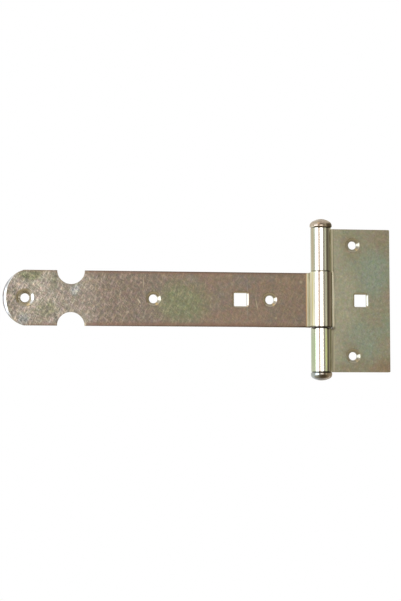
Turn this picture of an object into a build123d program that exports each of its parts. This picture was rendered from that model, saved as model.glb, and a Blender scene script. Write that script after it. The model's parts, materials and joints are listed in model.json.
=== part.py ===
from build123d import *
from math import acos, degrees, radians, tan
import os

# Tee hinge: a long strap leaf and an upright plate leaf, each curled round one riveted pin.
# Frame: +Z up along the pin, +X from the strap towards the plate, fronts of both leaves towards -Y.
# The origin is midway between the plate's two screw holes, on the plate's back face.

# Pin and the curl of both leaves round it
pin_diameter = 8.0
pin_clearance = 0.05
seam_gap = 0.3
knuckle_gap = 0.25
knuckle_edge_chamfer = 0.3

# Pin heads: the upper one is formed, the lower one is riveted over
upper_head_diameter = 14.3
upper_head_rim = 2.8
upper_head_crown = 3.0
upper_head_shoulder_radius = 3.0
upper_head_seat_chamfer = 0.8
lower_head_diameter = 13.6
lower_head_rim = 3.2
lower_head_crown = 2.2
lower_head_shoulder_radius = 2.6
lower_head_seat_chamfer = 0.7

# Strap leaf, measured from the pin axis or from its rounded tip
strap_thickness = 3.2
strap_width = 35.0
strap_reach = 202.5
tip_length = 13.5
tip_bevel_width = 2.3
tip_bevel_depth = 1.1
tip_bevel_radius = 3.3
tip_bevel_shift = 5.0
notch_radius = 8.7
notch_from_tip = 42.8
tip_hole_from_tip = 14.0
middle_hole_from_pin = 107.5
inner_hole_from_pin = 32.5
strap_square_from_pin = 51.5
curl_spread = 0.4
spread_length = 9.0

# Plate leaf, measured from the pin axis or from its upper and lower edges
plate_thickness = 2.5
plate_height = 92.4
plate_reach = 46.4
plate_corner_radius = 0.8
plate_hole_from_pin = 21.9
plate_hole_from_edge = 10.35
plate_square_from_pin = 27.0
cutout_clearance = 1.3
cutout_corner_radius = 1.5
cutout_rim_width = 1.2
cutout_rim_depth = 0.1

# Screw holes and square carriage-bolt holes, each in a shallow dish that the punch drew down
strap_hole_diameter = 5.6
plate_hole_diameter = 5.3
dish_angle = 120.0
dish_diameter = 9.8
tip_dish_diameter = 11.8
tip_sink_diameter = 10.4
tip_sink_angle = 90.0
strap_square_size = 8.5
plate_square_size = 8.0
square_corner_radius = 0.6
square_dish_width = 1.2
square_dish_corner_radius = 2.2

# Front edges broken by shearing and notching
sheared_edge_radius = 0.35
notch_edge_chamfer = 0.3

# Places worked out from the sizes above
bore_radius = pin_diameter / 2 + pin_clearance
strap_curl_radius = bore_radius + strap_thickness
plate_curl_radius = bore_radius + plate_thickness
pin_x = -plate_hole_from_pin
pin_y = -plate_curl_radius
pin_axis = Axis((pin_x, pin_y, 0), (0, 0, 1))
front_plane = Plane.XZ.offset(plate_thickness)

strap_half = strap_width / 2
strap_curl_length = strap_width + 2 * curl_spread
tip_x = pin_x - strap_reach
shoulder_x = tip_x + tip_length
spread_x = pin_x - spread_length
notch_x = tip_x + notch_from_tip
tip_radius = (tip_length**2 + strap_half**2) / (2 * tip_length)
bevel_reach = tip_radius + tip_bevel_shift
bevel_x = tip_x + bevel_reach
tip_hole_place = (tip_x + tip_hole_from_tip, 0)
strap_hole_places = [
    (pin_x - middle_hole_from_pin, 0),
    (pin_x - inner_hole_from_pin, 0),
]
strap_square_place = (pin_x - strap_square_from_pin, 0)
strap_square_dish = strap_square_size + 2 * square_dish_width
square_dish_depth = square_dish_width / tan(radians(dish_angle / 2))

plate_half = plate_height / 2
plate_edge_x = pin_x + plate_reach
cutout_half = strap_curl_length / 2 + knuckle_gap
cutout_x = pin_x + strap_curl_radius + cutout_clearance
plate_curl_length = plate_half - cutout_half
plate_hole_z = plate_half - plate_hole_from_edge
plate_square_place = (pin_x + plate_square_from_pin, 0)
plate_square_dish = plate_square_size + 2 * square_dish_width

# Each curl stops where its outer corner would come within the seam gap of its own leaf's front
strap_curl_sweep = 360 - degrees(acos((bore_radius - seam_gap) / strap_curl_radius))
plate_curl_sweep = 360 - degrees(acos((bore_radius - seam_gap) / plate_curl_radius))
back_angle = 90

os.makedirs("parts", exist_ok=True)

# Middle knuckle: the strap's end carried behind the pin, round its right side and back over the front
with BuildPart() as strap_curl:
    with BuildSketch(Plane.XY):
        with BuildLine():
            outside = CenterArc((pin_x, pin_y), strap_curl_radius, back_angle, -strap_curl_sweep)
            inside = CenterArc((pin_x, pin_y), bore_radius, back_angle, -strap_curl_sweep)
            Line(outside @ 0, inside @ 0)
            Line(outside @ 1, inside @ 1)
        make_face()
    extrude(amount=strap_curl_length / 2, both=True)
    chamfer(
        strap_curl.edges().filter_by(GeomType.CIRCLE).group_by(SortBy.RADIUS)[-1],
        knuckle_edge_chamfer,
    )

# Strap leaf: flat strip with a rounded tip and notches, spreading a little where it runs into its curl
with BuildPart() as strap_leaf:
    with BuildSketch(front_plane):
        with BuildLine():
            ThreePointArc((shoulder_x, strap_half), (tip_x, 0), (shoulder_x, -strap_half))
            Polyline(
                (shoulder_x, -strap_half),
                (spread_x, -strap_half),
                (pin_x, -strap_curl_length / 2),
                (pin_x, strap_curl_length / 2),
                (spread_x, strap_half),
                (shoulder_x, strap_half),
            )
        make_face()
        with Locations((notch_x, strap_half), (notch_x, -strap_half)):
            Circle(notch_radius, mode=Mode.SUBTRACT)
    extrude(amount=-strap_thickness)

    # Front edges broken at the punched notches, and rounded by shearing along the straight sides
    notch_edges = strap_leaf.faces().sort_by(Axis.Y)[0].edges().filter_by(GeomType.CIRCLE).sort_by(Axis.X)[1:]
    chamfer(notch_edges, notch_edge_chamfer)
    side_edges = strap_leaf.faces().sort_by(Axis.Y)[0].edges().filter_by(GeomType.LINE).sort_by(Axis.X)[:-1]
    fillet(side_edges, sheared_edge_radius)

    # Bevel of the tip: a bulging section turned about an axis behind the tip's centre, so it tapers sideways
    with BuildSketch(Plane(origin=(bevel_x, -plate_thickness, 0), x_dir=(0, 0, 1), z_dir=(-1, 0, 0))):
        with BuildLine():
            bevel_inner = (bevel_reach - tip_bevel_width, 0)
            bevel_outer = (bevel_reach, tip_bevel_depth)
            RadiusArc(bevel_inner, bevel_outer, tip_bevel_radius)
            Polyline(
                bevel_outer,
                (bevel_reach + tip_bevel_width, tip_bevel_depth),
                (bevel_reach + tip_bevel_width, -tip_bevel_depth),
                (bevel_reach - tip_bevel_width, -tip_bevel_depth),
                bevel_inner,
            )
        make_face()
    revolve(axis=Axis((bevel_x, 0, 0), (0, -1, 0)), revolution_arc=180, mode=Mode.SUBTRACT)

    add(strap_curl.part)

    # Square hole in its square dish, then the round ones: the tip's screw hole sinks steeper inside its dish
    with BuildSketch(front_plane):
        with Locations(strap_square_place):
            RectangleRounded(strap_square_size, strap_square_size, square_corner_radius)
    extrude(amount=-strap_thickness, mode=Mode.SUBTRACT)
    with BuildSketch(front_plane):
        with Locations(strap_square_place):
            RectangleRounded(strap_square_dish, strap_square_dish, square_dish_corner_radius)
    extrude(amount=-square_dish_depth, taper=dish_angle / 2, mode=Mode.SUBTRACT)
    with Locations(front_plane):
        with Locations(*strap_hole_places):
            CounterSinkHole(strap_hole_diameter / 2, dish_diameter / 2, strap_thickness, dish_angle)
        with Locations(tip_hole_place):
            CounterSinkHole(strap_hole_diameter / 2, tip_dish_diameter / 2, strap_thickness, dish_angle)
            CounterSinkHole(strap_hole_diameter / 2, tip_sink_diameter / 2, strap_thickness, tip_sink_angle)
strap_leaf.part.label = "strap_leaf"
export_step(strap_leaf.part, "parts/strap_leaf.step")

# Upper and lower knuckles: the plate's tabs carried behind the pin, round its left side and over the front
with BuildPart() as plate_curls:
    with BuildSketch(Plane.XY.offset(cutout_half), Plane.XY.offset(-plate_half)):
        with BuildLine():
            outside = CenterArc((pin_x, pin_y), plate_curl_radius, back_angle, plate_curl_sweep)
            inside = CenterArc((pin_x, pin_y), bore_radius, back_angle, plate_curl_sweep)
            Line(outside @ 0, inside @ 0)
            Line(outside @ 1, inside @ 1)
        make_face()
    extrude(amount=plate_curl_length)
    chamfer(
        plate_curls.edges().filter_by(GeomType.CIRCLE).group_by(SortBy.RADIUS)[-1],
        knuckle_edge_chamfer,
    )

# Plate leaf: upright rectangle, cut out where the middle knuckle turns
with BuildPart() as plate_leaf:
    with BuildSketch(front_plane) as plate_outline:
        with BuildLine():
            Polyline(
                (pin_x, cutout_half),
                (pin_x, plate_half),
                (plate_edge_x, plate_half),
                (plate_edge_x, -plate_half),
                (pin_x, -plate_half),
                (pin_x, -cutout_half),
                (cutout_x, -cutout_half),
                (cutout_x, cutout_half),
                close=True,
            )
        make_face()
        fillet(plate_outline.vertices().group_by(Axis.X)[-1], plate_corner_radius)
        fillet(plate_outline.vertices().group_by(Axis.X)[1], cutout_corner_radius)
    extrude(amount=-plate_thickness)

    # Front edges rounded by shearing round the outside, and drawn down by the heavier punch round the cut-out
    outer_upright = plate_leaf.faces().sort_by(Axis.Y)[0].edges().filter_by(Axis.Z).sort_by(Axis.X)[-1]
    fillet(outer_upright, sheared_edge_radius)
    plate_front = plate_leaf.faces().sort_by(Axis.Y)[0]
    cutout_upright = plate_front.edges().filter_by(Axis.Z).sort_by(Axis.X)[-2]
    chamfer(cutout_upright, cutout_rim_width, cutout_rim_depth, reference=plate_front)

    add(plate_curls.part)

    with BuildSketch(front_plane):
        with Locations(plate_square_place):
            RectangleRounded(plate_square_size, plate_square_size, square_corner_radius)
    extrude(amount=-plate_thickness, mode=Mode.SUBTRACT)
    with BuildSketch(front_plane):
        with Locations(plate_square_place):
            RectangleRounded(plate_square_dish, plate_square_dish, square_dish_corner_radius)
    extrude(amount=-square_dish_depth, taper=dish_angle / 2, mode=Mode.SUBTRACT)
    with Locations(front_plane):
        with Locations((0, plate_hole_z), (0, -plate_hole_z)):
            CounterSinkHole(plate_hole_diameter / 2, dish_diameter / 2, plate_thickness, dish_angle)
plate_leaf.part.label = "plate_leaf"
export_step(plate_leaf.part, "parts/plate_leaf.step")

# Pin: a plain shank through all three knuckles, with a domed head seated on each end of the plate's curls
with BuildPart() as hinge_pin:
    with BuildSketch(Plane(origin=(pin_x, pin_y, 0), x_dir=(1, 0, 0), z_dir=(0, -1, 0))) as pin_profile:
        with BuildLine():
            upper_radius = upper_head_diameter / 2
            lower_radius = lower_head_diameter / 2
            upper_rim_z = plate_half + upper_head_rim
            lower_rim_z = -plate_half - lower_head_rim
            upper_crown = (0, upper_rim_z + upper_head_crown)
            lower_crown = (0, lower_rim_z - lower_head_crown)
            TangentArc(upper_crown, (upper_radius, upper_rim_z), tangent=(1, 0))
            Polyline(
                (upper_radius, upper_rim_z),
                (upper_radius, plate_half + upper_head_seat_chamfer),
                (upper_radius - upper_head_seat_chamfer, plate_half),
                (pin_diameter / 2, plate_half),
                (pin_diameter / 2, -plate_half),
                (lower_radius - lower_head_seat_chamfer, -plate_half),
                (lower_radius, -plate_half - lower_head_seat_chamfer),
                (lower_radius, lower_rim_z),
            )
            TangentArc(lower_crown, (lower_radius, lower_rim_z), tangent=(1, 0))
            Line(lower_crown, upper_crown)
        make_face()
        fillet(pin_profile.vertices().group_by(Axis.Y)[-2], upper_head_shoulder_radius)
        fillet(pin_profile.vertices().group_by(Axis.Y)[1], lower_head_shoulder_radius)
    revolve(axis=pin_axis)
hinge_pin.part.label = "hinge_pin"
export_step(hinge_pin.part, "parts/hinge_pin.step")
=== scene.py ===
"""Looks of a tee hinge in yellow-passivated zinc plate: three finishes and a white photo stage."""

import json
from math import pi, radians
from typing import NamedTuple

import bpy
import numpy as np
from bpy.props import FloatProperty, FloatVectorProperty, PointerProperty
from bpy.types import Operator, Panel, PropertyGroup
from mathutils import Matrix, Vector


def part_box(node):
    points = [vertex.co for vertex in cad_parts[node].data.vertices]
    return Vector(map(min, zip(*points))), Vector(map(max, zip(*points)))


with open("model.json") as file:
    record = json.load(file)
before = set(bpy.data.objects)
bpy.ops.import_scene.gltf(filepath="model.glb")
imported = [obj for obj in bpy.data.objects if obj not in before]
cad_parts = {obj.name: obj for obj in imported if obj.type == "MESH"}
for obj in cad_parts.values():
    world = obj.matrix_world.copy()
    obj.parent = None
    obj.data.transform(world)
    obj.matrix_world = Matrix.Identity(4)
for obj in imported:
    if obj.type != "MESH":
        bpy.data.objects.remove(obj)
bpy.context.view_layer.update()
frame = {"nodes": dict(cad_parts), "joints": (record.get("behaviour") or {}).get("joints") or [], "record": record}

bl_info = {
    "name": "Tee Hinge Looks",
    "version": (1, 0, 0),
    "blender": (4, 5, 0),
    "location": "View3D > Sidebar > Tee Hinge",
    "description": "Finishes the leaves and pin of a tee hinge and sets up its photo stage",
    "category": "Object",
}

MM = 0.001

# Places on the hinge, in millimetres, nearly all taken from the frame
pin_x = frame["joints"][0]["pos_m"][0] / MM
strap_low, strap_high = (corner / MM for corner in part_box("strap_leaf"))
plate_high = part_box("plate_leaf")[1] / MM
tip_x = strap_low.x
curl_radius = strap_high.x - pin_x
curl_end = strap_high.z
curl_spread = 0.4
strap_edge = curl_end - curl_spread
plate_end = plate_high.z
plate_thickness = 2.5
leaf_front = plate_high.y - plate_thickness
mounts = {mount["name"]: mount for mount in frame["record"]["mounts"]}
plate_screw_z = mounts["plate_screws"]["dims"]["spacing_y_mm"] / 2
outer_screws = mounts["strap_outer_screws"]
tip_hole_x = outer_screws["pos_m"][0] / MM - outer_screws["dims"]["spacing_x_mm"] / 2


def linear(hex_colour):
    """Linear red, green and blue of an sRGB hex colour."""
    parts = (int(hex_colour[i : i + 2], 16) / 255 for i in (1, 3, 5))
    return tuple(p / 12.92 if p <= 0.04045 else ((p + 0.055) / 1.055) ** 2.4 for p in parts)


def colour(name, description, hex_colour):
    """A colour that a user can change, given as sRGB hex."""
    return FloatVectorProperty(
        name=name, description=description, default=linear(hex_colour), subtype="COLOR", size=3, min=0, max=1
    )


def length(name, description, millimetres):
    """A length that a user can change, given in millimetres."""
    return FloatProperty(
        name=name, description=description, default=millimetres * MM, unit="LENGTH", min=0, precision=5
    )


def share(name, description, default):
    """A share from 0 to 1 that a user can change."""
    return FloatProperty(name=name, description=description, default=default, subtype="FACTOR", min=0, max=1)


def angle(name, description, degrees):
    """An angle that a user can change, given in degrees."""
    return FloatProperty(name=name, description=description, default=radians(degrees), unit="ROTATION")


def level(name, description, default):
    """A brightness that a user can change, where 1 is white."""
    return FloatProperty(name=name, description=description, default=default, min=0)


class StrapFinish(PropertyGroup):
    """Colours and grain of the strap leaf"""

    ground: colour("Ground", "Mauve-brown of most of the strap", "#998879")
    warm: colour("Warm cloud", "Tan clouds in the passivation", "#9d8b7a")
    cool: colour("Cool cloud", "Grey-mauve clouds in the passivation", "#93887d")
    # Partly painted light: the paler end also stands in for the brighter reflection towards the tip
    pale: colour("Pale end", "Paler coat towards the rounded tip", "#b6ada1")
    olive: colour("Olive patch", "Green patches in the passivation", "#8f9276")
    umber: colour("Umber patch", "Dark brown clouds round the tip's hole and the neck", "#7f7467")
    blue: colour("Blue patch", "Grey-blue patches near the tip", "#a5aaa8")
    red: colour("Red edge", "Reddish line along the sheared edges", "#8e6f60")
    cream: colour("Cream scratch", "Bare zinc in scratches and specks", "#d6c9ae")
    # Painted shade in the joints and beside them, and dark lines along the edges and the notches
    grime_and_painted_shade: colour("Grime", "Dark grease in the joints", "#3a332c")
    wall: colour("Cut wall", "Thin film in holes and on cut edges", "#b0a997")
    # Painted light: walls paler towards the dishes' rims
    lip_painted_light: colour("Dish lip", "Paler film towards the rims of the dishes", "#cdc5b2")
    # Exposed zinc on the tip's far edge, and a painted highlight on the right of the tip's dish
    bare_and_painted_highlight: colour("Bare rim", "Zinc worn bright along the tip", "#ecebe7")
    edge: colour("Bare edge", "Grey of the outermost edge", "#b4b7bb")
    # Painted reflection: the curl reflected in the flat beside it, painted as a pale tint
    burnish_and_painted_reflection: colour("Burnished flat", "Pale green-tan of the flat beside the curl", "#c5c2ae")
    # Painted light: the cream left of the curl, with the milky film, keeps that side light
    film_left_painted_light: colour("Film, left", "Yellow cream on the left of the curl", "#faf5d0")
    film_front: colour("Film, front", "Nearly clear coat along the curl's front", "#ece7dc")
    film_line: colour("Film, line", "Pinkish tan along the curl's middle", "#e0cfc2")
    # Painted shade: dark band right of the curl's front, also the tint of the seam
    film_painted_shade: colour("Film, dark", "Dark brown right of the curl's front", "#655d53")
    film_right: colour("Film, right", "Brown on the right of the curl", "#b3a797")
    gold: colour("Gold line", "Gold line drawn along the left of the curl", "#e3d48c")
    sage: colour("Sage line", "Grey-green line beside the curl's bright front", "#94968a")
    tan: colour("Tan line", "Orange-tan line where the flat turns bright", "#c79c70")
    # Partly painted light: the milky left of the curl
    milk_and_painted_light: share("Milky film", "How far the film on the left of the curl hides the metal", 0.8)
    fleck_size: length("Fleck size", "Length of the crystals that show as flecks", 3.6)
    fleck_far: share("Flecks at the far end", "Contrast of the flecks at the tip", 0.6)
    fleck_near: share("Flecks by the pin", "Contrast of the flecks beside the curl", 0.21)
    roughness: share("Roughness", "Roughness of the flat", 0.44)


class PlateFinish(PropertyGroup):
    """Colours and grain of the plate leaf"""

    ground: colour("Ground", "Olive-grey of most of the plate", "#a7a690")
    warm: colour("Warm cloud", "Tan clouds in the passivation", "#aca491")
    cool: colour("Cool cloud", "Grey-green clouds in the passivation", "#a2aa97")
    pale: colour("Pale side", "Paler coat beside the cut-out and the curls", "#b7b5a0")
    brown: colour("Brown corner", "Browner coat at the corners and round the screw holes", "#a28e77")
    blue: colour("Blue patch", "Blue-green patches near the middle", "#a1ad9e")
    # Painted shade along the cut-out's rim
    rim: colour("Cut-out rim", "Browner coat along the cut-out's rim", "#7d7464")
    cream: colour("Cream scratch", "Bare zinc in scratches and specks", "#c9c2a6")
    # Painted shade in the joints between the knuckles
    grime_and_painted_shade: colour("Grime", "Dark grease in the joints", "#3a352d")
    wall: colour("Cut wall", "Thin film in holes and on cut edges", "#a4a193")
    # Painted light: walls paler towards the dishes' rims
    lip_painted_light: colour("Dish lip", "Paler film towards the rims of the dishes", "#beb9a7")
    # Exposed zinc on the plate's far edge; the plate has no painted highlight
    bare_and_painted_highlight: colour("Bare rim", "Zinc worn bright at the far edge", "#c6bfa8")
    edge: colour("Bare edge", "Grey of the outermost edge", "#a8a088")
    # Painted reflection of the curls in the flat beside them
    burnish_and_painted_reflection: colour("Burnished flat", "Paler flat beside the curls", "#b4ad94")
    # Painted light on the left of the curls
    film_left_painted_light: colour("Film, left", "Green cream on the left of the curls", "#d3d2c2")
    film_front: colour("Film, front", "Nearly clear coat along the curls' front", "#ece9e0")
    film_line: colour("Film, line", "Pinkish tan along the curls' middle", "#e6d9ca")
    # Painted shade right of the curls' front
    film_painted_shade: colour("Film, dark", "Dark olive right of the curls' front", "#6d6c60")
    film_right: colour("Film, right", "Olive-brown on the right of the curls", "#dcd8c2")
    mint: colour("Mint film", "Green left side of the lower curl", "#bac9a6")
    lime: colour("Lime film", "Yellow-green line right of the lower curl's front", "#e6edb2")
    sage: colour("Sage line", "Grey-green line beside the curls' bright front", "#b0b5a4")
    tan: colour("Tan line", "Tan line drawn along the left of the upper curl", "#c9b793")
    # Partly painted light: the milky left of the curls
    milk_and_painted_light: share("Milky film", "How far the film on the left of the curls hides the metal", 0.1)
    fleck_size: length("Fleck size", "Length of the crystals that show as flecks", 2.4)
    fleck_far: share("Flecks at the far edge", "Contrast of the flecks at the outer edge", 0.2)
    fleck_near: share("Flecks by the pin", "Contrast of the flecks beside the curls", 0.16)
    roughness: share("Roughness", "Roughness of the flat", 0.42)


class PinFinish(PropertyGroup):
    """Colours of the pin's heads"""

    pink: colour("Pink", "Pinkish tan of the upper dome", "#cfbfb0")
    cream: colour("Cream", "Green-cream clouds on the heads", "#e0dcc6")
    brown: colour("Brown", "Brown clouds on the heads", "#ac9d8d")
    steel: colour("Steel", "Blue-grey of the hammered lower head", "#b3bcbe")
    # Painted shade on the heads, in place of dark reflections
    shade: colour("Shade", "Dark brown patches on the heads", "#4d4337")
    # Painted shade under the heads and in the joints
    grime_and_painted_shade: colour("Grime", "Dark grease under the heads", "#3a332c")
    roughness: share("Roughness", "Roughness of the heads", 0.14)


class StageSettings(PropertyGroup):
    """Camera, lamps and reflecting cards of the photo stage"""

    aim: FloatVectorProperty(
        name="Aim",
        description="Point at the middle of the picture",
        default=(-0.0975, 0.0106, 0.0001),
        subtype="XYZ",
        unit="LENGTH",
        size=3,
    )
    distance: length("Distance", "Camera to aim", 1000.0)
    yaw: angle("Yaw", "Turn of the view to the right of the hinge's front", 7.97)
    pitch: angle("Pitch", "Climb of the view above level", 4.2)
    roll: angle("Roll", "Tilt of the camera about its own view", -0.05)
    lens: FloatProperty(
        name="Lens", description="Focal length on a 36 mm frame", default=92.87, unit="CAMERA"
    )
    key_glow: level("Key glow", "Brightness of the left softbox", 2.45)
    front_glow: level("Front glow", "Brightness of the strip beside the camera", 2.4)
    ambient: level("Ambient", "Brightness of the room for diffuse surfaces", 0.6)
    floor_colour: colour("Floor", "Pale grey of the floor", "#eeeeec")
    floor_lift: level("Floor lift", "White added to the floor for the eye and for reflections", 0.36)
    floor_drop: length("Floor drop", "Floor below the hinge's origin", 250.0)


class Patch(NamedTuple):
    """An oval of another tint on a piece, in millimetres and degrees, seen from the front."""

    x: float
    z: float
    half_width: float
    half_height: float
    tint: str
    strength: float
    tilt: float = 0.0


# Strap: paler end, partly its tone and partly painted light, and umber, olive and blue patches
STRAP_PATCHES = (
    Patch(-204.0, 0.0, 58.0, 70.0, "pale", 1.0),
    Patch(-142.0, 0.0, 38.0, 70.0, "cool", 0.7),
    Patch(-218.0, -1.0, 7.0, 14.0, "umber", 0.4),
    Patch(-204.0, -13.0, 14.0, 8.0, "umber", 0.35),
    Patch(-183.0, 0.0, 14.0, 16.0, "umber", 0.3),
    Patch(-111.0, -2.5, 24.0, 19.0, "olive", 0.9),
    Patch(-207.0, 15.0, 12.0, 5.0, "olive", 0.9),
    Patch(-197.0, -6.5, 10.0, 7.0, "olive", 0.6),
    Patch(-192.0, 12.0, 6.0, 9.0, "olive", 0.4),
    Patch(-178.8, 5.5, 4.0, 6.0, "blue", 0.7),
    Patch(-212.0, -14.0, 5.0, 6.0, "blue", 0.7),
)

# Strap: scratches, reddish and dark lines along its edges, dark lines beside the notches, and a painted highlight
# at the lower notch's right corner
STRAP_SCRATCHES = (
    Patch(-63.0, -3.0, 0.5, 6.0, "cream", 0.5, 12.0),
    Patch(-138.6, -1.6, 0.5, 2.6, "cream", 0.8, 35.0),
    Patch(-135.8, 10.0, 0.4, 5.0, "cream", 0.45),
    Patch(-69.0, 0.0, 0.5, 18.0, "blue", 0.35),
    Patch(-34.0, 11.7, 1.2, 1.6, "cream", 0.35),
    Patch(-50.5, -11.7, 1.0, 1.0, "cream", 0.35),
    Patch(-118.0, strap_edge, 150.0, 2.6, "red", 0.6),
    Patch(-118.0, -strap_edge, 150.0, 3.6, "red", 0.6),
    Patch(-90.0, strap_edge + 0.1, 150.0, 1.1, "grime_and_painted_shade", 0.5),
    Patch(-90.0, -strap_edge - 0.1, 150.0, 1.1, "grime_and_painted_shade", 0.5),
    Patch(-191.0, 13.0, 1.4, 8.0, "grime_and_painted_shade", 0.35, -14.0),
    Patch(-191.0, -13.0, 1.4, 8.0, "grime_and_painted_shade", 0.35, 14.0),
    # Painted highlight at the lower notch's right corner
    Patch(-172.9, -16.6, 1.3, 1.8, "cream", 0.9),
)

# Plate: paler beside the cut-out and the curls, browner at corners and holes, and a blue-green middle
PLATE_PATCHES = (
    Patch(-8.0, 0.0, 16.0, 34.0, "pale", 0.9),
    Patch(pin_x + 9.0, 33.0, 9.0, 34.0, "pale", 0.9),
    Patch(pin_x + 9.0, -27.0, 9.0, 25.0, "pale", 0.9),
    Patch(23.0, -45.0, 12.0, 13.0, "brown", 0.8),
    Patch(22.0, 40.0, 12.0, 18.0, "brown", 0.25),
    Patch(-9.0, 42.0, 12.0, 9.0, "brown", 0.2),
    Patch(5.0, -44.0, 22.0, 8.0, "brown", 0.4),
    Patch(13.0, 17.0, 14.0, 22.0, "blue", 0.8),
    Patch(6.0, -24.0, 16.0, 14.0, "blue", 0.5),
    Patch(0.0, plate_screw_z, 9.0, 9.0, "brown", 0.35),
    Patch(0.0, -plate_screw_z, 9.0, 9.0, "brown", 0.35),
)

# Plate: one scratch, and painted shade along the rim of the cut-out
PLATE_SCRATCHES = (
    Patch(-3.0, -45.0, 0.5, 2.6, "cream", 0.5, 30.0),
    Patch(-12.7, -12.0, 1.6, 12.0, "rim", 0.5),
    Patch(-12.7, 13.0, 1.6, 10.0, "rim", 0.5),
)

# Strap's tip: a painted highlight on the right of its dish
STRAP_PAINTED_HIGHLIGHT = (Patch(tip_hole_x + 5.8, 0.0, 5.6, 13.0, "bare_and_painted_highlight", 1.0),)

# Strap's seam: painted shade, a dark line on the flat where the curl comes down to it
STRAP_SEAM_SHADE = (Patch(pin_x - 6.75, 18.0, 0.55, 9.0, "film_painted_shade", 0.9),)

# Strap's curl: tan, gold and sage lines along its left, and painted shade along its lower edge beside the lower
# joint
STRAP_FILMS = (
    Patch(pin_x - 8.65, 0.0, 0.6, 36.0, "tan", 0.7),
    Patch(pin_x - 6.3, 0.0, 0.45, 36.0, "gold", 0.7),
    Patch(pin_x - 4.95, 0.0, 0.5, 36.0, "sage", 1.0),
    # Painted shade along the strap's lower edge, beside the lower joint
    Patch(pin_x - 9.0, -curl_end, 12.0, 1.5, "grime_and_painted_shade", 0.9),
)

# Plate's curls: tan and sage on the upper one, and mint and lime on the lower one
PLATE_FILMS = (
    Patch(pin_x - 5.9, 33.0, 0.8, 30.0, "tan", 0.6),
    Patch(pin_x - 4.9, 33.0, 0.6, 30.0, "sage", 0.7),
    Patch(pin_x - 5.6, -33.0, 3.0, 22.0, "mint", 0.8),
    Patch(pin_x + 1.9, -33.0, 1.2, 22.0, "lime", 0.8),
)

# Pin: lower head blue-grey on its left, with painted shade across its front and foot, and painted shade on the
# upper head's right
PIN_PATCHES = (
    Patch(pin_x + 3.0, -plate_end - 4.0, 12.0, 8.0, "brown", 0.8),
    Patch(pin_x - 6.0, -plate_end - 3.0, 7.0, 8.0, "steel", 0.9),
    Patch(pin_x - 0.4, -plate_end - 2.8, 4.4, 2.0, "shade", 0.9),
    Patch(pin_x + 5.0, plate_end + 1.4, 4.8, 2.3, "shade", 0.9),
    Patch(pin_x - 2.5, -plate_end - 5.4, 8.0, 2.6, "shade", 0.7),
)

# Painted shade, with some grease, in the joints between the knuckles, heavier in the lower one, and under the
# pin's heads
JOINT_REACH = 9.0
JOINT_PAINTED_SHADE = (
    Patch(pin_x, curl_end, JOINT_REACH, 0.5, "grime_and_painted_shade", 0.6),
    Patch(pin_x, -curl_end, JOINT_REACH, 1.1, "grime_and_painted_shade", 1.0),
    Patch(pin_x + 7.5, -curl_end, 3.5, 2.2, "grime_and_painted_shade", 0.8),
    Patch(pin_x + 3.2, -curl_end - 0.3, 2.0, 1.5, "grime_and_painted_shade", 0.9),
    Patch(pin_x - 5.0, -curl_end - 0.3, 1.6, 1.4, "grime_and_painted_shade", 0.9),
    Patch(pin_x, plate_end, JOINT_REACH, 0.6, "grime_and_painted_shade", 1.0),
    Patch(pin_x, -plate_end - 0.4, JOINT_REACH, 0.9, "grime_and_painted_shade", 0.9),
)

# Real sizes of the patterns, in millimetres: mottle, grain and drawn lines are coarser than real, to show
CLOUD_SIZE = 16.0
CLOUD_FRAY = 9.0
MOTTLE_SIZE = 2.4
GRAIN_SIZE = 0.7
DRAWN_LINE = 0.6
DRAWN_LENGTH = 60.0
RELIEF_DEPTH = 0.12
PIN_CLOUD_SIZE = 5.0
PIN_GRIT_SIZE = 0.9
FLOOR_SPECK_SIZE = 25.0

# Reaches, depths and fades of a leaf's layers, in millimetres
BURNISH_EDGE = 0.3
CUT_DEPTH = 0.18
CUT_FADE = 0.06
RIM_DEPTH = 1.0
BARE_REACH = 8.0
BARE_EDGE = 1.0
CURL_DEPTH = 0.1
CURL_FADE = 0.2

# Detail of the noises from broad to fine, their middle, and the range that they seldom leave
CLOUD_DETAIL = 4.0
MOTTLE_DETAIL = 3.0
GRIT_DETAIL = 2.0
FINE_DETAIL = 1.0
NOISE_ROUGHNESS = 0.6
NOISE_MIDDLE = (0.5, 0.5, 0.5)
NOISE_RANGE = {"From Min": 0.3, "From Max": 0.7}

# Ends of a mask that falls from 1 to 0
FALLING = {"To Min": 1.0, "To Max": 0.0}

# Clouds: noise levels of the cool, plain and warm tints, and of the pin's brown, pink and cream
CLOUD_LEVELS = (0.36, 0.5, 0.64)
PIN_CLOUD_LEVELS = (0.35, 0.5, 0.65)

# Flecks: width over length, lean in degrees and strength of each set, noise levels, bend, and shares of light
FLECK_SLIMMER = 0.22
FLECK_LEANS = ((22.0, 1.1), (-48.0, 0.8))
FLECK_LOW, FLECK_HIGH = 0.53, 0.66
FLECK_BEND = 0.6
MOTTLE_DARK, MOTTLE_LIGHT = -0.8, -0.16
MOTTLE_RELIEF = 0.3
GRAIN_GLINT = 0.35
HUE_LOW = (0.8, 0.82, 0.75)
HUE_SPREAD = (0.4, 0.36, 0.5)

# Drawn lines, burnish and cut walls: shares of light, polish and cover, and levels in the depth of the rim
DRAWN_DARK, DRAWN_LIGHT = 0.72, 1.2
BURNISH_POLISH = 0.5
WALL_COVER = 0.85
LIP_LEVEL, WALL_LEVEL = 0.3, 0.75
BARE_LEVEL, EDGE_LEVEL = 0.6, 0.75

# Film round the curls, as shares of their width from left to right, and where its milky part ends.
# The bands are partly the film's colour and partly painted shading: the milky cream on the left is painted light,
# and the dark band right of the front is painted shade.
FILM_STOPS = (
    (0.0, "film_left_painted_light"),
    (0.17, "film_left_painted_light"),
    (0.25, "film_front"),
    (0.32, "film_line"),
    (0.4, "film_front"),
    (0.58, "film_front"),
    (0.73, "film_painted_shade"),
    (0.87, "film_right"),
)
MILK_FULL, MILK_END = 0.13, 0.19
FILM_ROUGHNESS = 0.15

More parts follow.
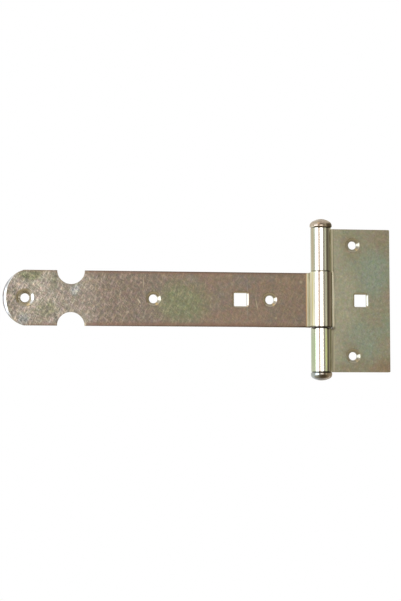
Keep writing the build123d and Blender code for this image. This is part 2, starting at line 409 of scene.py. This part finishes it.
# Pin: how far grit spreads the roughness, and the strength of its relief
PIN_SPREAD = 0.05
PIN_RELIEF = 0.12

# Patches: level of the ball-shaped gradient from which a patch is full
PATCH_FULL = 0.7

# Sockets of a colour mix
FACTOR, UNDER, OVER, MIXED = 0, 6, 7, 2


def node(tree, kind, inputs=None, stops=(), **settings):
    """Adds a node with its settings, inputs and colour stops.

    An input given as a socket is linked, and any other value is set.
    """
    made = tree.nodes.new(kind)
    for name, value in settings.items():
        setattr(made, name, value)
    for name, value in (inputs or {}).items():
        if isinstance(value, bpy.types.NodeSocket):
            tree.links.new(value, made.inputs[name])
        else:
            made.inputs[name].default_value = value
    for index, (position, rgb) in enumerate(stops):
        elements = made.color_ramp.elements
        element = elements[index] if index < len(elements) else elements.new(position)
        element.position = position
        element.color = four(rgb)
    return made


def four(rgb):
    """A colour with full alpha."""
    return (*rgb, 1.0)


def new_material(name):
    """An empty node material and its tree."""
    material = bpy.data.materials.new(name)
    material.use_nodes = True
    material.node_tree.nodes.clear()
    return material, material.node_tree


def in_millimetres(tree):
    """Object coordinates counted in millimetres."""
    place = node(tree, "ShaderNodeTexCoord").outputs["Object"]
    scaled = node(tree, "ShaderNodeVectorMath", {0: place, "Scale": 1 / MM}, operation="SCALE")
    return scaled.outputs["Vector"]


def seen_directly(tree):
    """1 for what the eye, a mirror or glass sees, and 0 for diffuse light."""
    path = node(tree, "ShaderNodeLightPath").outputs
    seen = path["Is Camera Ray"]
    for ray in ("Is Glossy Ray", "Is Transmission Ray"):
        seen = node(tree, "ShaderNodeMath", {0: seen, 1: path[ray]}, operation="MAXIMUM").outputs["Value"]
    return seen


def paint_patches(tree, tint, place, patches, finish):
    """Lays oval patches over a tint: each is full in its middle and fades out towards its rim."""
    right_through = 1000.0
    for patch in patches:
        centred = node(
            tree,
            "ShaderNodeMapping",
            {
                "Vector": place,
                "Location": (patch.x, 0.0, patch.z),
                "Rotation": (0.0, -radians(patch.tilt), 0.0),
                "Scale": (patch.half_width, right_through, patch.half_height),
            },
            vector_type="TEXTURE",
        ).outputs["Vector"]
        ball = node(
            tree, "ShaderNodeTexGradient", {"Vector": centred}, gradient_type="SPHERICAL"
        ).outputs["Fac"]
        amount = node(
            tree,
            "ShaderNodeMapRange",
            {"Value": ball, "From Max": PATCH_FULL, "To Max": patch.strength},
            interpolation_type="SMOOTHSTEP",
        ).outputs["Result"]
        tint = node(
            tree,
            "ShaderNodeMix",
            {FACTOR: amount, UNDER: tint, OVER: four(getattr(finish, patch.tint))},
            data_type="RGBA",
        ).outputs[MIXED]
    return tint


class Leaf(NamedTuple):
    """Where a leaf's finish changes, in millimetres, and its patches."""

    far_x: float
    calm_x: float
    back: float
    burnish_reach: float
    patches: tuple
    scratches: tuple
    seam: tuple
    # Painted highlights laid on the walls
    wear_and_painted_highlight: tuple
    films: tuple


STRAP = Leaf(
    far_x=tip_x,
    calm_x=-90.0,
    back=strap_high.y,
    burnish_reach=8.75,
    patches=STRAP_PATCHES,
    scratches=STRAP_SCRATCHES,
    seam=STRAP_SEAM_SHADE,
    wear_and_painted_highlight=STRAP_PAINTED_HIGHLIGHT,
    films=STRAP_FILMS,
)
PLATE = Leaf(
    far_x=plate_high.x,
    calm_x=pin_x,
    back=plate_high.y,
    burnish_reach=9.4,
    patches=PLATE_PATCHES,
    scratches=PLATE_SCRATCHES,
    seam=(),
    wear_and_painted_highlight=(),
    films=PLATE_FILMS,
)


class Coat(NamedTuple):
    """What the layers of a leaf's finish share: settings, places in millimetres, and patterns."""

    tree: bpy.types.NodeTree
    finish: PropertyGroup
    leaf: Leaf
    place: bpy.types.NodeSocket
    x: bpy.types.NodeSocket
    y: bpy.types.NodeSocket
    from_pin: bpy.types.NodeSocket
    mottle: bpy.types.bpy_prop_collection
    drawn: bpy.types.NodeSocket


def start_coat(tree, finish, leaf):
    """Places from the Object coordinates, the crystals' mottle, and the lines that rolling drew upright."""
    place = in_millimetres(tree)
    axes = node(tree, "ShaderNodeSeparateXYZ", {"Vector": place}).outputs
    from_pin = node(tree, "ShaderNodeMath", {0: axes["X"], 1: pin_x}, operation="SUBTRACT").outputs["Value"]
    mottle = node(
        tree,
        "ShaderNodeTexNoise",
        {"Vector": place, "Scale": 1 / MOTTLE_SIZE, "Detail": MOTTLE_DETAIL, "Roughness": NOISE_ROUGHNESS},
    ).outputs
    upright = node(
        tree,
        "ShaderNodeVectorMath",
        {0: place, 1: (1.0, 0.0, DRAWN_LINE / DRAWN_LENGTH)},
        operation="MULTIPLY",
    ).outputs["Vector"]
    line = node(
        tree, "ShaderNodeTexNoise", {"Vector": upright, "Scale": 1 / DRAWN_LINE, "Detail": FINE_DETAIL}
    ).outputs["Fac"]
    drawn = node(
        tree,
        "ShaderNodeMapRange",
        {"Value": line, **NOISE_RANGE, "To Min": DRAWN_DARK, "To Max": DRAWN_LIGHT},
    ).outputs["Result"]
    return Coat(tree, finish, leaf, place, axes["X"], axes["Y"], from_pin, mottle, drawn)


def clouds(coat):
    """Ground of soft clouds, with patches whose rims the clouds push about."""
    tree, finish = coat.tree, coat.finish
    cloud = node(
        tree,
        "ShaderNodeTexNoise",
        {"Vector": coat.place, "Scale": 1 / CLOUD_SIZE, "Detail": CLOUD_DETAIL, "Roughness": NOISE_ROUGHNESS},
    ).outputs
    tint = node(
        tree,
        "ShaderNodeValToRGB",
        {"Fac": cloud["Fac"]},
        stops=zip(CLOUD_LEVELS, (finish.cool, finish.ground, finish.warm)),
    ).outputs["Color"]
    wander = node(
        tree, "ShaderNodeVectorMath", {0: cloud["Color"], 1: NOISE_MIDDLE}, operation="SUBTRACT"
    ).outputs["Vector"]
    frayed = node(
        tree,
        "ShaderNodeVectorMath",
        {0: wander, 1: (CLOUD_FRAY, CLOUD_FRAY, CLOUD_FRAY), 2: coat.place},
        operation="MULTIPLY_ADD",
    ).outputs["Vector"]
    return paint_patches(tree, tint, frayed, coat.leaf.patches, finish)


def flecks(coat, tint):
    """Lays crystals over a tint: a mottle off in hue, light streaks leaning two ways, and fine grain."""
    tree, finish, leaf = coat.tree, coat.finish, coat.leaf
    light = node(
        tree,
        "ShaderNodeMapRange",
        {"Value": coat.mottle["Fac"], **NOISE_RANGE, "To Min": MOTTLE_DARK, "To Max": MOTTLE_LIGHT},
    ).outputs["Result"]
    fleck_length = finish.fleck_size / MM
    for lean, strength in FLECK_LEANS:
        leaning = node(
            tree,
            "ShaderNodeMapping",
            {
                "Vector": coat.place,
                "Rotation": (0.0, radians(lean), 0.0),
                "Scale": (fleck_length * FLECK_SLIMMER, fleck_length, fleck_length),
            },
            vector_type="TEXTURE",
        ).outputs["Vector"]
        streak = node(
            tree,
            "ShaderNodeTexNoise",
            {"Vector": leaning, "Scale": 1.0, "Detail": GRIT_DETAIL, "Distortion": FLECK_BEND},
        ).outputs["Fac"]
        fleck = node(
            tree,
            "ShaderNodeMapRange",
            {"Value": streak, "From Min": FLECK_LOW, "From Max": FLECK_HIGH, "To Max": strength},
        ).outputs["Result"]
        light = node(tree, "ShaderNodeMath", {0: light, 1: fleck}, operation="ADD").outputs["Value"]
    grain = node(
        tree, "ShaderNodeTexNoise", {"Vector": coat.place, "Scale": 1 / GRAIN_SIZE, "Detail": FINE_DETAIL}
    ).outputs["Fac"]
    glint = node(
        tree,
        "ShaderNodeMapRange",
        {"Value": grain, **NOISE_RANGE, "To Min": -GRAIN_GLINT, "To Max": GRAIN_GLINT},
    ).outputs["Result"]
    light = node(tree, "ShaderNodeMath", {0: light, 1: glint}, operation="ADD").outputs["Value"]
    contrast = node(
        tree,
        "ShaderNodeMapRange",
        {
            "Value": coat.x,
            "From Min": leaf.far_x,
            "From Max": leaf.calm_x,
            "To Min": finish.fleck_far,
            "To Max": finish.fleck_near,
        },
    ).outputs["Result"]
    shade = node(
        tree, "ShaderNodeMath", {0: light, 1: contrast, 2: 1.0}, operation="MULTIPLY_ADD"
    ).outputs["Value"]
    hue = node(
        tree,
        "ShaderNodeVectorMath",
        {0: coat.mottle["Color"], 1: HUE_SPREAD, 2: HUE_LOW},
        operation="MULTIPLY_ADD",
    ).outputs["Vector"]
    tint = node(tree, "ShaderNodeVectorMath", {0: tint, 1: hue}, operation="MULTIPLY").outputs["Vector"]
    return node(tree, "ShaderNodeVectorMath", {0: tint, "Scale": shade}, operation="SCALE").outputs["Vector"]


def beside_curls(coat):
    """1 on the flat beside the curls, burnished smoother and painted paler as a painted reflection of the curls,
    and 0 further away.
    """
    off_pin = node(coat.tree, "ShaderNodeMath", {0: coat.from_pin}, operation="ABSOLUTE").outputs["Value"]
    reach = coat.leaf.burnish_reach
    return node(
        coat.tree,
        "ShaderNodeMapRange",
        {"Value": off_pin, "From Min": reach - BURNISH_EDGE, "From Max": reach + BURNISH_EDGE, **FALLING},
    ).outputs["Result"]


def burnish_and_painted_reflection(coat, tint, burnished):
    """Lays the burnished flat over a tint, painted paler as a painted reflection of the curl, with sharper drawn
    lines than the curls' and the painted shade of a dark seam.
    """
    tree, finish = coat.tree, coat.finish
    sharper = node(tree, "ShaderNodeMath", {0: coat.drawn, 1: coat.drawn}, operation="MULTIPLY")
    band = node(
        tree,
        "ShaderNodeVectorMath",
        {0: tuple(finish.burnish_and_painted_reflection), "Scale": sharper.outputs["Value"]},
        operation="SCALE",
    ).outputs["Vector"]
    # Painted shade of the seam where the curl comes down to the flat
    band = paint_patches(tree, band, coat.place, coat.leaf.seam, finish)
    return node(
        tree, "ShaderNodeMix", {FACTOR: burnished, UNDER: tint, OVER: band}, data_type="RGBA"
    ).outputs[MIXED]


def on_walls(coat):
    """1 on the walls of holes and edges, between a leaf's front and back, and 0 on its faces."""
    cut_from, back = leaf_front + CUT_DEPTH, coat.leaf.back
    below_front = node(
        coat.tree,
        "ShaderNodeMapRange",
        {"Value": coat.y, "From Min": cut_from, "From Max": cut_from + CUT_FADE},
    ).outputs["Result"]
    before_back = node(
        coat.tree,
        "ShaderNodeMapRange",
        {"Value": coat.y, "From Min": back - CUT_FADE, "From Max": back, **FALLING},
    ).outputs["Result"]
    return node(
        coat.tree, "ShaderNodeMath", {0: below_front, 1: before_back}, operation="MULTIPLY"
    ).outputs["Value"]


def thin_walls(coat, tint, walls):
    """Lays the thinner film of cut walls over a tint: paler towards the dishes' rims as painted light, with a
    painted highlight on the right of the tip's dish, and rubbed off at the far end.
    """
    tree, finish = coat.tree, coat.finish
    depth = node(
        tree,
        "ShaderNodeMapRange",
        {"Value": coat.y, "From Min": leaf_front, "From Max": leaf_front + RIM_DEPTH},
    ).outputs["Result"]
    # Painted light: paler towards the rims, darker deeper in
    wall = node(
        tree,
        "ShaderNodeValToRGB",
        {"Fac": depth},
        stops=((LIP_LEVEL, finish.lip_painted_light), (WALL_LEVEL, finish.wall)),
    ).outputs["Color"]
    # Painted highlight on the right of the tip's dish, laid on its walls
    wall = paint_patches(tree, wall, coat.place, coat.leaf.wear_and_painted_highlight, finish)
    cover = node(tree, "ShaderNodeMath", {0: walls, 1: WALL_COVER}, operation="MULTIPLY").outputs["Value"]
    tint = node(
        tree, "ShaderNodeMix", {FACTOR: cover, UNDER: tint, OVER: wall}, data_type="RGBA"
    ).outputs[MIXED]

    from_far = node(tree, "ShaderNodeMath", {0: coat.x, 1: coat.leaf.far_x}, operation="SUBTRACT")
    off_far = node(tree, "ShaderNodeMath", {0: from_far.outputs["Value"]}, operation="ABSOLUTE")
    at_far = node(
        tree,
        "ShaderNodeMapRange",
        {
            "Value": off_far.outputs["Value"],
            "From Min": BARE_REACH - BARE_EDGE,
            "From Max": BARE_REACH + BARE_EDGE,
            **FALLING,
        },
    ).outputs["Result"]
    wear_and_painted_highlight = node(tree, "ShaderNodeMath", {0: walls, 1: at_far}, operation="MULTIPLY").outputs["Value"]
    rim = node(
        tree,
        "ShaderNodeValToRGB",
        {"Fac": depth},
        stops=((BARE_LEVEL, finish.bare_and_painted_highlight), (EDGE_LEVEL, finish.edge)),
    ).outputs["Color"]
    return node(
        tree, "ShaderNodeMix", {FACTOR: wear_and_painted_highlight, UNDER: tint, OVER: rim}, data_type="RGBA"
    ).outputs[MIXED]


def on_curls(coat):
    """1 on the curls, which stand proud of the flat's front, and 0 behind it."""
    curl_from = leaf_front - CURL_DEPTH
    return node(
        coat.tree,
        "ShaderNodeMapRange",
        {"Value": coat.y, "From Min": curl_from - CURL_FADE, "From Max": curl_from, **FALLING},
    ).outputs["Result"]


def curl_film(coat, tint, raised, across):
    """Lays the curls' film over a tint, from left to right of the pin, banded partly as painted shading, then its
    lines and the painted shade in the joints.
    """
    tree, finish = coat.tree, coat.finish
    film = node(
        tree,
        "ShaderNodeValToRGB",
        {"Fac": across},
        stops=[(position, getattr(finish, name)) for position, name in FILM_STOPS],
    ).outputs["Color"]
    film = node(
        tree, "ShaderNodeVectorMath", {0: film, "Scale": coat.drawn}, operation="SCALE"
    ).outputs["Vector"]
    tint = node(
        tree, "ShaderNodeMix", {FACTOR: raised, UNDER: tint, OVER: film}, data_type="RGBA"
    ).outputs[MIXED]
    # Lines on the curls, then painted shade in the joints and along the strap's lower edge beside them
    return paint_patches(tree, tint, coat.place, coat.leaf.films + JOINT_PAINTED_SHADE, finish)


def bare_metal(coat, raised, across):
    """1 where the metal shows through its film, and less where that is milky, on the left of the curls: with the
    cream film there, this milky left is painted light.
    """
    tree = coat.tree
    milky = node(
        tree,
        "ShaderNodeMapRange",
        {
            "Value": across,
            "From Min": MILK_FULL,
            "From Max": MILK_END,
            "To Min": coat.finish.milk_and_painted_light,
            "To Max": 0.0,
        },
    ).outputs["Result"]
    hidden = node(tree, "ShaderNodeMath", {0: milky, 1: raised}, operation="MULTIPLY").outputs["Value"]
    return node(tree, "ShaderNodeMath", {0: 1.0, 1: hidden}, operation="SUBTRACT").outputs["Value"]


def zinc_leaf(name, finish, leaf):
    """Yellow-passivated zinc on rolled steel sheet.

    The thin chromate film gives the eye clouds of brown, olive and mauve. Crystals of zinc under it glint
    one by one as flecks. Rolling burnished the curls to a nearly clear film, banded across them partly as
    painted shading, and cut walls are paler than the flats. The flat beside the curls is painted paler as
    a painted reflection of them.
    """
    material, tree = new_material(name)
    coat = start_coat(tree, finish, leaf)
    burnished, walls, raised = beside_curls(coat), on_walls(coat), on_curls(coat)
    across = node(
        tree,
        "ShaderNodeMapRange",
        {"Value": coat.from_pin, "From Min": -curl_radius, "From Max": curl_radius},
    ).outputs["Result"]
    tint = flecks(coat, clouds(coat))
    tint = paint_patches(tree, tint, coat.place, leaf.scratches, finish)
    # Pale band beside the curls: a painted reflection, on a flat that is also smoother there
    tint = burnish_and_painted_reflection(coat, tint, burnished)
    tint = thin_walls(coat, tint, walls)
    tint = curl_film(coat, tint, raised, across)

    # Smooth where burnished, cut or curled, and duller on the flats, where the mottle stands out a little
    polish = node(tree, "ShaderNodeMath", {0: burnished, 1: BURNISH_POLISH}, operation="MULTIPLY")
    smooth = polish.outputs["Value"]
    for mask in (walls, raised):
        smooth = node(tree, "ShaderNodeMath", {0: smooth, 1: mask}, operation="MAXIMUM").outputs["Value"]
    roughness = node(
        tree,
        "ShaderNodeMapRange",
        {"Value": smooth, "To Min": finish.roughness, "To Max": FILM_ROUGHNESS},
    ).outputs["Result"]
    relief = node(
        tree, "ShaderNodeMapRange", {"Value": smooth, "To Min": MOTTLE_RELIEF, "To Max": 0.0}
    ).outputs["Result"]
    bump = node(
        tree,
        "ShaderNodeBump",
        {"Height": coat.mottle["Fac"], "Strength": relief, "Distance": RELIEF_DEPTH * MM},
    ).outputs["Normal"]
    shader = node(
        tree,
        "ShaderNodeBsdfPrincipled",
        {
            "Base Color": tint,
            "Metallic": bare_metal(coat, raised, across),
            "Roughness": roughness,
            "Normal": bump,
        },
    ).outputs["BSDF"]
    node(tree, "ShaderNodeOutputMaterial", {"Surface": shader})
    return material


def zinc_pin(name, finish):
    """Yellow-passivated zinc on a headed steel pin.

    The heads were struck, so the film is bright and its colour clouds pink, cream and brown, with fine grit.
    """
    material, tree = new_material(name)
    place = in_millimetres(tree)
    cloud = node(
        tree, "ShaderNodeTexNoise", {"Vector": place, "Scale": 1 / PIN_CLOUD_SIZE, "Detail": MOTTLE_DETAIL}
    ).outputs["Fac"]
    tint = node(
        tree,
        "ShaderNodeValToRGB",
        {"Fac": cloud},
        stops=zip(PIN_CLOUD_LEVELS, (finish.brown, finish.pink, finish.cream)),
    ).outputs["Color"]
    # Patches on the heads, then painted shade under the heads and in the joints
    tint = paint_patches(tree, tint, place, PIN_PATCHES + JOINT_PAINTED_SHADE, finish)
    grit = node(
        tree, "ShaderNodeTexNoise", {"Vector": place, "Scale": 1 / PIN_GRIT_SIZE, "Detail": GRIT_DETAIL}
    ).outputs["Fac"]
    roughness = node(
        tree,
        "ShaderNodeMapRange",
        {"Value": grit, "To Min": finish.roughness - PIN_SPREAD, "To Max": finish.roughness + PIN_SPREAD},
    ).outputs["Result"]
    bump = node(
        tree, "ShaderNodeBump", {"Height": grit, "Strength": PIN_RELIEF, "Distance": RELIEF_DEPTH * MM}
    ).outputs["Normal"]
    shader = node(
        tree,
        "ShaderNodeBsdfPrincipled",
        {"Base Color": tint, "Metallic": 1.0, "Roughness": roughness, "Normal": bump},
    ).outputs["BSDF"]
    node(tree, "ShaderNodeOutputMaterial", {"Surface": shader})
    return material


def dress(name, material):
    """Gives a CAD node its finish."""
    mesh = frame["nodes"][name].data
    mesh.materials.clear()
    mesh.materials.append(material)


class HINGE_OT_strap(Operator):
    """Finish the strap leaf in brownish passivated zinc"""

    bl_idname = "hinge.strap"
    bl_label = "Finish Strap"

    def execute(self, context):
        dress("strap_leaf", zinc_leaf("yellow_passivated_zinc_strap", context.scene.hinge_strap, STRAP))
        return {"FINISHED"}


class HINGE_OT_plate(Operator):
    """Finish the plate leaf in olive passivated zinc"""

    bl_idname = "hinge.plate"
    bl_label = "Finish Plate"

    def execute(self, context):
        dress("plate_leaf", zinc_leaf("yellow_passivated_zinc_plate", context.scene.hinge_plate, PLATE))
        return {"FINISHED"}


class HINGE_OT_pin(Operator):
    """Finish the pin in bright passivated zinc"""

    bl_idname = "hinge.pin"
    bl_label = "Finish Pin"

    def execute(self, context):
        dress("hinge_pin", zinc_pin("yellow_passivated_zinc_pin", context.scene.hinge_pin))
        return {"FINISHED"}


# Sizes of the stage, in metres apart from the camera's sensor, which is in millimetres
CARD_RADIUS = 1.7
CARD_HEIGHTS = (-1.2, 1.4)
FLOOR_RADIUS = 0.4
SENSOR_WIDTH = 36.0

# Darkest and lightest shade of the floor's specks
SPECK_DARK, SPECK_LIGHT = 0.96, 1.04

# Reflecting cards round the hinge: name, turns in degrees from the front to the right, brightness, tint
CARDS = (
    ("rear_left_card", (-172.0, -79.0), 0.97, "#f0efe6"),
    ("left_gap_card", (-43.0, -22.0), 0.82, "#f3e4d6"),
    ("front_card", (-22.0, 9.5), 0.4, "#efe6da"),
    ("right_card", (9.5, 34.0), 0.44, "#efe8d8"),
    ("right_reflector", (34.0, 49.0), 0.9, "#eef3d6"),
    ("right_flag", (49.0, 68.0), 0.5, "#eddfc4"),
    ("rear_right_card", (68.0, 172.0), 0.65, "#eae0cc"),
)

# Level cards: name, centre, radius, brightness, tint
LEVEL_CARDS = (
    ("ceiling_card", (0.0, 0.0, 1.42), 1.7, 0.75, "#f4efe6"),
    ("left_ceiling_card", (-0.81, -0.94, 1.4), 0.4, 1.3, "#f7e2bc"),
    ("low_card", (-0.1, -0.45, -0.245), 0.6, 0.64, "#efe3c8"),
)


class Softbox(NamedTuple):
    """An area lamp aimed at the hinge: turn and climb in degrees, reach and size in metres, and tint."""

    turn: float
    climb: float
    reach: float
    width: float
    height: float
    tint: str


LEFT_SOFTBOX = Softbox(-60.5, 0.5, 1.5, 1.0, 0.8, "#e6f1ff")
FRONT_STRIP = Softbox(-7.0, 4.5, 1.5, 0.8, 0.4, "#ffffff")


def card_surface(turns, heights, radius, columns=24):
    """Points and faces of an upright card bent round the hinge.

    At turn a, counted from the front towards the right, and height h, the point is
    (radius sin a, -radius cos a, h). Columns step through the turns and rows through the heights.
    """
    a, h = np.meshgrid(np.radians(np.linspace(*turns, columns)), np.asarray(heights))
    points = np.stack((radius * np.sin(a), -radius * np.cos(a), h), axis=-1).reshape(-1, 3)
    index = np.arange(points.shape[0]).reshape(a.shape)
    corners = (index[:-1, :-1], index[1:, :-1], index[1:, 1:], index[:-1, 1:])
    return points, np.stack(corners, axis=-1).reshape(-1, 4).tolist()


def disc_surface(centre, radius, columns=96):
    """Points and one face of a level disc.

    At turn a the rim's point is the centre plus radius (cos a, sin a, 0).
    """
    a = np.linspace(0, 2 * pi, columns, endpoint=False)
    points = np.asarray(centre) + radius * np.stack((np.cos(a), np.sin(a), np.zeros_like(a)), axis=-1)
    return points, [list(range(columns))]


def stage_mesh(name, surface, material):
    """Puts a surface on the stage, apart from the object."""
    points, faces = surface
    mesh = bpy.data.meshes.new(name)
    mesh.from_pydata(points.tolist(), [], faces)
    mesh.materials.append(material)
    made = bpy.data.objects.new(name, mesh)
    bpy.context.scene.collection.objects.link(made)
    return made


def add_card(name, surface, glow, tint):
    """A card of even brightness that only reflections show."""
    material, tree = new_material(name)
    light = node(tree, "ShaderNodeEmission", {"Color": four(linear(tint)), "Strength": glow})
    node(tree, "ShaderNodeOutputMaterial", {"Surface": light.outputs["Emission"]})
    card = stage_mesh(name, surface, material)
    card.visible_camera = False
    card.visible_diffuse = False
    card.visible_shadow = False


def add_softbox(name, softbox, glow):
    """Hangs a softbox whose power gives it the brightness asked for: glow times pi times its area."""
    lamp = bpy.data.lights.new(name, "AREA")
    lamp.shape = "RECTANGLE"
    lamp.size = softbox.width
    lamp.size_y = softbox.height
    lamp.energy = glow * pi * softbox.width * softbox.height
    lamp.color = linear(softbox.tint)
    made = bpy.data.objects.new(name, lamp)
    turned = Matrix.Rotation(radians(softbox.turn), 4, "Z")
    tipped = Matrix.Rotation(radians(90 - softbox.climb), 4, "X")
    made.matrix_world = turned @ tipped @ Matrix.Translation((0, 0, softbox.reach))
    made.visible_camera = False
    bpy.context.scene.collection.objects.link(made)


def white_surround(ambient):
    """A world that is white for the eye and for reflections, and a plain room for diffuse light."""
    world = bpy.data.worlds.new("white_surround")
    world.use_nodes = True
    tree = world.node_tree
    tree.nodes.clear()
    strength = node(
        tree, "ShaderNodeMapRange", {"Value": seen_directly(tree), "To Min": ambient, "To Max": 1.0}
    ).outputs["Result"]
    white = node(tree, "ShaderNodeBackground", {"Color": (1, 1, 1, 1), "Strength": strength})
    node(tree, "ShaderNodeOutputWorld", {"Surface": white.outputs["Background"]})
    return world


def painted_floor(tone, lift):
    """Matt floor paint: pale, faintly speckled, lifted towards white for the eye, and still shadowed."""
    material, tree = new_material("painted_floor")
    place = in_millimetres(tree)
    speck = node(
        tree, "ShaderNodeTexNoise", {"Vector": place, "Scale": 1 / FLOOR_SPECK_SIZE, "Detail": MOTTLE_DETAIL}
    ).outputs["Fac"]
    shade = node(
        tree, "ShaderNodeMapRange", {"Value": speck, "To Min": SPECK_DARK, "To Max": SPECK_LIGHT}
    ).outputs["Result"]
    speckled = node(tree, "ShaderNodeVectorMath", {0: tone, "Scale": shade}, operation="SCALE")
    paint = node(tree, "ShaderNodeBsdfDiffuse", {"Color": speckled.outputs["Vector"]}).outputs["BSDF"]
    strength = node(
        tree, "ShaderNodeMath", {0: seen_directly(tree), 1: lift}, operation="MULTIPLY"
    ).outputs["Value"]
    glow = node(tree, "ShaderNodeEmission", {"Color": (1, 1, 1, 1), "Strength": strength}).outputs["Emission"]
    pale = node(tree, "ShaderNodeAddShader", {0: paint, 1: glow}).outputs["Shader"]
    node(tree, "ShaderNodeOutputMaterial", {"Surface": pale})
    return material


def photo_camera(stage):
    """A camera that looks at its aim from the stage's distance, yaw, pitch and roll."""
    eye = bpy.data.cameras.new("photo_camera")
    eye.sensor_width = SENSOR_WIDTH
    eye.lens = stage.lens
    camera = bpy.data.objects.new("photo_camera", eye)
    turned = (
        Matrix.Rotation(-stage.yaw, 4, "Z")
        @ Matrix.Rotation(pi / 2 + stage.pitch, 4, "X")
        @ Matrix.Rotation(stage.roll, 4, "Z")
    )
    backed_off = Matrix.Translation((0, 0, stage.distance))
    camera.matrix_world = Matrix.Translation(stage.aim) @ turned @ backed_off
    bpy.context.scene.collection.objects.link(camera)
    return camera


class HINGE_OT_stage(Operator):
    """Set up the floor, the white surround, lamps, reflecting cards and camera"""

    bl_idname = "hinge.stage"
    bl_label = "Set Up Stage"

    def execute(self, context):
        scene, stage = context.scene, context.scene.hinge_stage
        scene.view_settings.view_transform = "Standard"
        scene.world = white_surround(stage.ambient)
        paint = painted_floor(tuple(stage.floor_colour), stage.floor_lift)
        stage_mesh("floor", disc_surface((0, 0, -stage.floor_drop), FLOOR_RADIUS), paint)
        for name, turns, glow, tint in CARDS:
            add_card(name, card_surface(turns, CARD_HEIGHTS, CARD_RADIUS), glow, tint)
        for name, centre, radius, glow, tint in LEVEL_CARDS:
            add_card(name, disc_surface(centre, radius), glow, tint)
        add_softbox("left_softbox", LEFT_SOFTBOX, stage.key_glow)
        add_softbox("front_strip", FRONT_STRIP, stage.front_glow)
        scene.camera = photo_camera(stage)
        return {"FINISHED"}


class HINGE_PT_looks(Panel):
    """Lists the steps that finish the hinge, with their settings"""

    bl_idname = "HINGE_PT_looks"
    bl_label = "Tee Hinge"
    bl_space_type = "VIEW_3D"
    bl_region_type = "UI"
    bl_category = "Tee Hinge"

    def draw(self, context):
        for operator, settings in STEPS:
            box = self.layout.box()
            box.operator(operator.bl_idname)
            group = getattr(context.scene, settings)
            for name in group.__annotations__:
                box.prop(group, name)


SETTINGS = (
    ("hinge_strap", StrapFinish),
    ("hinge_plate", PlateFinish),
    ("hinge_pin", PinFinish),
    ("hinge_stage", StageSettings),
)
STEPS = (
    (HINGE_OT_strap, "hinge_strap"),
    (HINGE_OT_plate, "hinge_plate"),
    (HINGE_OT_pin, "hinge_pin"),
    (HINGE_OT_stage, "hinge_stage"),
)
CLASSES = (*(group for _, group in SETTINGS), *(operator for operator, _ in STEPS), HINGE_PT_looks)


def register():
    """Registers the classes and hangs their settings on the scene."""
    for made in CLASSES:
        bpy.utils.register_class(made)
    for name, group in SETTINGS:
        setattr(bpy.types.Scene, name, PointerProperty(type=group))


def unregister():
    """Takes the settings off the scene and unregisters the classes."""
    for name, _ in SETTINGS:
        delattr(bpy.types.Scene, name)
    for made in reversed(CLASSES):
        bpy.utils.unregister_class(made)


def main():
    register()
    bpy.ops.hinge.strap()
    bpy.ops.hinge.plate()
    bpy.ops.hinge.pin()
    bpy.ops.hinge.stage()


if __name__ == "__main__":
    main()
